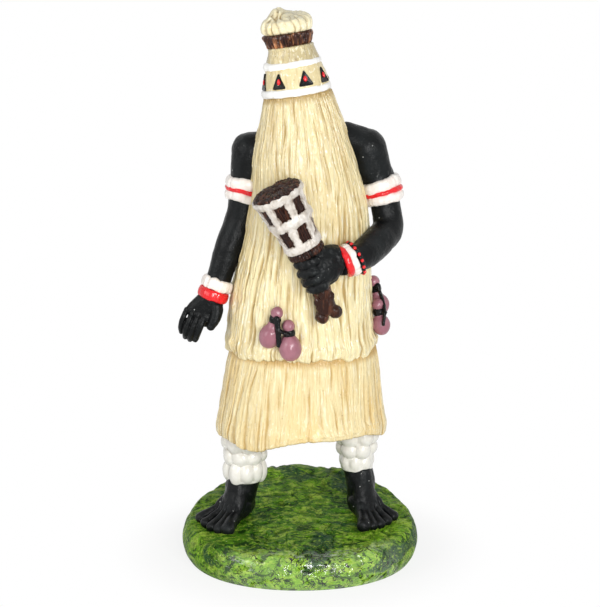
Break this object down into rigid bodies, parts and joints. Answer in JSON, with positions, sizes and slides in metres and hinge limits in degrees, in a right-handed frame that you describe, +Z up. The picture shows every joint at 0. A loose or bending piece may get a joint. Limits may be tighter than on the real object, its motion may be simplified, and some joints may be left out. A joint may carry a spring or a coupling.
{
  "type": "orisha statue",
  "caption": "Painted resin statuette of a standing orisha under a straw hood and skirt, holding a ritual broom scepter, on a round grass base.",
  "frame": {"origin": "middle of the base's underside", "axes": "+Z up the figure, -Y to the front of the figure, +X to the figure's left"},
  "size_m": [0.087, 0.088, 0.1994],
  "materials": {
    "grass_paint": "brushed green paint under gloss varnish",
    "skin_paint": "satin black paint",
    "straw_paint": "cream paint with ochre wash in the grooves, gloss varnish",
    "khaki_paint": "khaki paint, gloss varnish",
    "white_paint": "white paint, gloss varnish",
    "red_paint": "glossy red paint",
    "black_paint": "glossy black paint",
    "brown_paint": "dark brown paint",
    "mauve_paint": "mauve paint, gloss varnish",
    "bare_resin": "unpainted cast resin, hidden"
  },
  "bodies": {
    "root": {"base_mound": "grass_paint", "right_leg": "skin_paint", "left_leg": "skin_paint", "right_gaiter_lower": "white_paint", "right_gaiter_upper": "white_paint", "left_gaiter_lower": "white_paint", "left_gaiter_upper": "white_paint", "lower_skirt": "straw_paint", "torso_core": "bare_resin", "straw_veil": "straw_paint", "right_arm": "skin_paint", "left_arm": "skin_paint", "right_hand": "skin_paint", "left_hand": "skin_paint", "right_armband_upper": "white_paint", "right_armband_cord": "red_paint", "right_armband_lower": "white_paint", "left_armband_upper": "white_paint", "left_armband_cord": "red_paint", "left_armband_lower": "white_paint", "right_wrist_roll": "white_paint", "right_wrist_cord": "red_paint", "left_wrist_roll": "white_paint", "left_wrist_cord": "red_paint", "left_bead_bracelet": "black_paint", "crown_band": "khaki_paint", "crown_lower_cord": "white_paint", "crown_upper_cord": "white_paint", "hood_neck": "straw_paint", "topknot_tie": "brown_paint", "topknot": "straw_paint", "crown_stud_1": "black_paint", "crown_stud_2": "black_paint", "crown_stud_3": "black_paint", "crown_stud_4": "black_paint", "crown_stud_5": "black_paint", "crown_stud_6": "black_paint", "crown_stud_7": "black_paint", "crown_stud_8": "black_paint", "crown_gem_1": "red_paint", "crown_gem_2": "red_paint", "crown_gem_3": "red_paint", "crown_gem_4": "red_paint", "crown_gem_5": "red_paint", "crown_gem_6": "red_paint", "crown_gem_7": "red_paint", "crown_gem_8": "red_paint", "scepter_handle": "brown_paint", "scepter_collar": "brown_paint", "scepter_bundle": "brown_paint", "scepter_lattice": "white_paint", "front_gourd_upper": "mauve_paint", "front_gourd_lower": "mauve_paint", "front_gourd_ribbon": "black_paint", "side_gourd_upper": "mauve_paint", "side_gourd_lower": "mauve_paint", "side_gourd_ribbon": "black_paint"}
  },
  "joints": []
}
